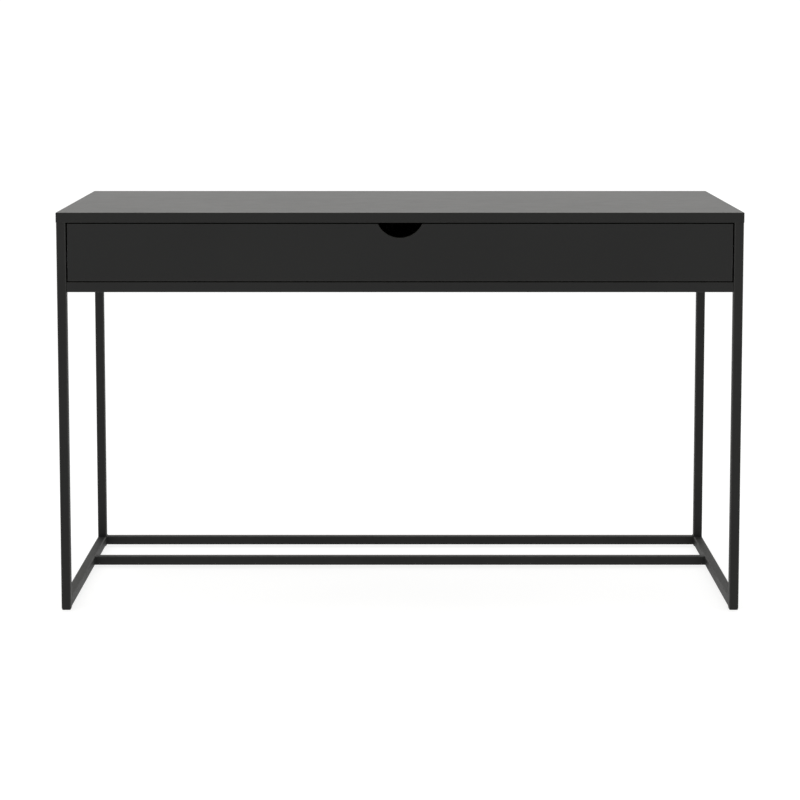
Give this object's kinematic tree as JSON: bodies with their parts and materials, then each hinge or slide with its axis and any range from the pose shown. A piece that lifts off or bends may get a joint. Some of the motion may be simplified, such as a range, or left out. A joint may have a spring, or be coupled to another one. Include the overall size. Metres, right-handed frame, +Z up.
{
  "type": "writing desk with drawer",
  "caption": "Slim black writing desk: board top and case with a full-width drawer, finger notch, square-tube loop legs on floor runners.",
  "frame": {"origin": "on the floor, under the middle of the desk", "axes": "+X to the desk's right as seen from the front, +Y from the drawer front to the back, +Z up"},
  "size_m": [1.3, 0.6, 0.765],
  "materials": {
    "lacquered_board": "satin",
    "drawer_box_board": "matte",
    "powder_coated_steel": "satin",
    "zinc_plated_steel": "satin",
    "blackened_screw_steel": "satin",
    "glide_nylon": "matte"
  },
  "bodies": {
    "desk_frame": {"front_leg_left": "powder_coated_steel", "front_leg_right": "powder_coated_steel", "rear_leg_left": "powder_coated_steel", "rear_leg_right": "powder_coated_steel", "floor_runner_left": "powder_coated_steel", "floor_runner_right": "powder_coated_steel", "upper_side_rail_left": "powder_coated_steel", "upper_side_rail_right": "powder_coated_steel", "rear_stretcher": "powder_coated_steel", "middle_stretcher": "powder_coated_steel", "top_fixing_strip_left": "powder_coated_steel", "top_fixing_strip_right": "powder_coated_steel", "front_glide_left": "glide_nylon", "front_glide_right": "glide_nylon", "rear_glide_left": "glide_nylon", "rear_glide_right": "glide_nylon", "worktop": "lacquered_board", "case_bottom": "lacquered_board", "back_panel": "lacquered_board", "side_panel_left": "lacquered_board", "side_panel_right": "lacquered_board", "top_screw_left_front": "blackened_screw_steel", "top_screw_left_middle": "blackened_screw_steel", "top_screw_left_rear": "blackened_screw_steel", "top_screw_right_front": "blackened_screw_steel", "top_screw_right_middle": "blackened_screw_steel", "top_screw_right_rear": "blackened_screw_steel", "back_panel_screw_left": "blackened_screw_steel", "back_panel_screw_centre": "blackened_screw_steel", "back_panel_screw_right": "blackened_screw_steel", "slide_outer_left": "zinc_plated_steel", "slide_outer_right": "zinc_plated_steel", "case_slide_screw_left_front": "blackened_screw_steel", "case_slide_screw_left_rear": "blackened_screw_steel", "case_slide_screw_right_front": "blackened_screw_steel", "case_slide_screw_right_rear": "blackened_screw_steel"},
    "drawer": {"drawer_front": "lacquered_board", "drawer_side_left": "drawer_box_board", "drawer_side_right": "drawer_box_board", "drawer_back": "drawer_box_board", "drawer_bottom": "drawer_box_board", "slide_inner_left": "zinc_plated_steel", "slide_inner_right": "zinc_plated_steel", "corner_bracket_left": "zinc_plated_steel", "corner_bracket_right": "zinc_plated_steel", "drawer_slide_screw_left_front": "blackened_screw_steel", "drawer_slide_screw_left_rear": "blackened_screw_steel", "drawer_slide_screw_right_front": "blackened_screw_steel", "drawer_slide_screw_right_rear": "blackened_screw_steel", "bracket_front_screw_left": "blackened_screw_steel", "bracket_front_screw_right": "blackened_screw_steel", "bracket_side_screw_left": "blackened_screw_steel", "bracket_side_screw_right": "blackened_screw_steel"},
    "slide_carriage_left": {"slide_middle_left": "zinc_plated_steel"},
    "slide_carriage_right": {"slide_middle_right": "zinc_plated_steel"},
    "outer_cage_left": {"outer_ball_cage_left": "zinc_plated_steel"},
    "outer_cage_right": {"outer_ball_cage_right": "zinc_plated_steel"},
    "inner_cage_left": {"inner_ball_cage_left": "zinc_plated_steel"},
    "inner_cage_right": {"inner_ball_cage_right": "zinc_plated_steel"}
  },
  "joints": [
    {"name": "drawer_slide", "type": "slide", "parent": "desk_frame", "child": "drawer", "axis": [0, -1, 0], "range_m": [0, 0.45]},
    {"name": "carriage_slide_left", "type": "slide", "parent": "desk_frame", "child": "slide_carriage_left", "axis": [0, -1, 0], "range_m": [0, 0.225]},
    {"name": "carriage_slide_right", "type": "slide", "parent": "desk_frame", "child": "slide_carriage_right", "axis": [0, -1, 0], "range_m": [0, 0.225]},
    {"name": "outer_cage_slide_left", "type": "slide", "parent": "desk_frame", "child": "outer_cage_left", "axis": [0, -1, 0], "range_m": [0, 0.1125]},
    {"name": "outer_cage_slide_right", "type": "slide", "parent": "desk_frame", "child": "outer_cage_right", "axis": [0, -1, 0], "range_m": [0, 0.1125]},
    {"name": "inner_cage_slide_left", "type": "slide", "parent": "desk_frame", "child": "inner_cage_left", "axis": [0, -1, 0], "range_m": [0, 0.3375]},
    {"name": "inner_cage_slide_right", "type": "slide", "parent": "desk_frame", "child": "inner_cage_right", "axis": [0, -1, 0], "range_m": [0, 0.3375]}
  ],
  "couplings": [
    {"joint": "carriage_slide_left", "follows": "drawer_slide", "ratio": 0.5},
    {"joint": "carriage_slide_right", "follows": "drawer_slide", "ratio": 0.5},
    {"joint": "outer_cage_slide_left", "follows": "drawer_slide", "ratio": 0.25},
    {"joint": "outer_cage_slide_right", "follows": "drawer_slide", "ratio": 0.25},
    {"joint": "inner_cage_slide_left", "follows": "drawer_slide", "ratio": 0.75},
    {"joint": "inner_cage_slide_right", "follows": "drawer_slide", "ratio": 0.75}
  ]
}
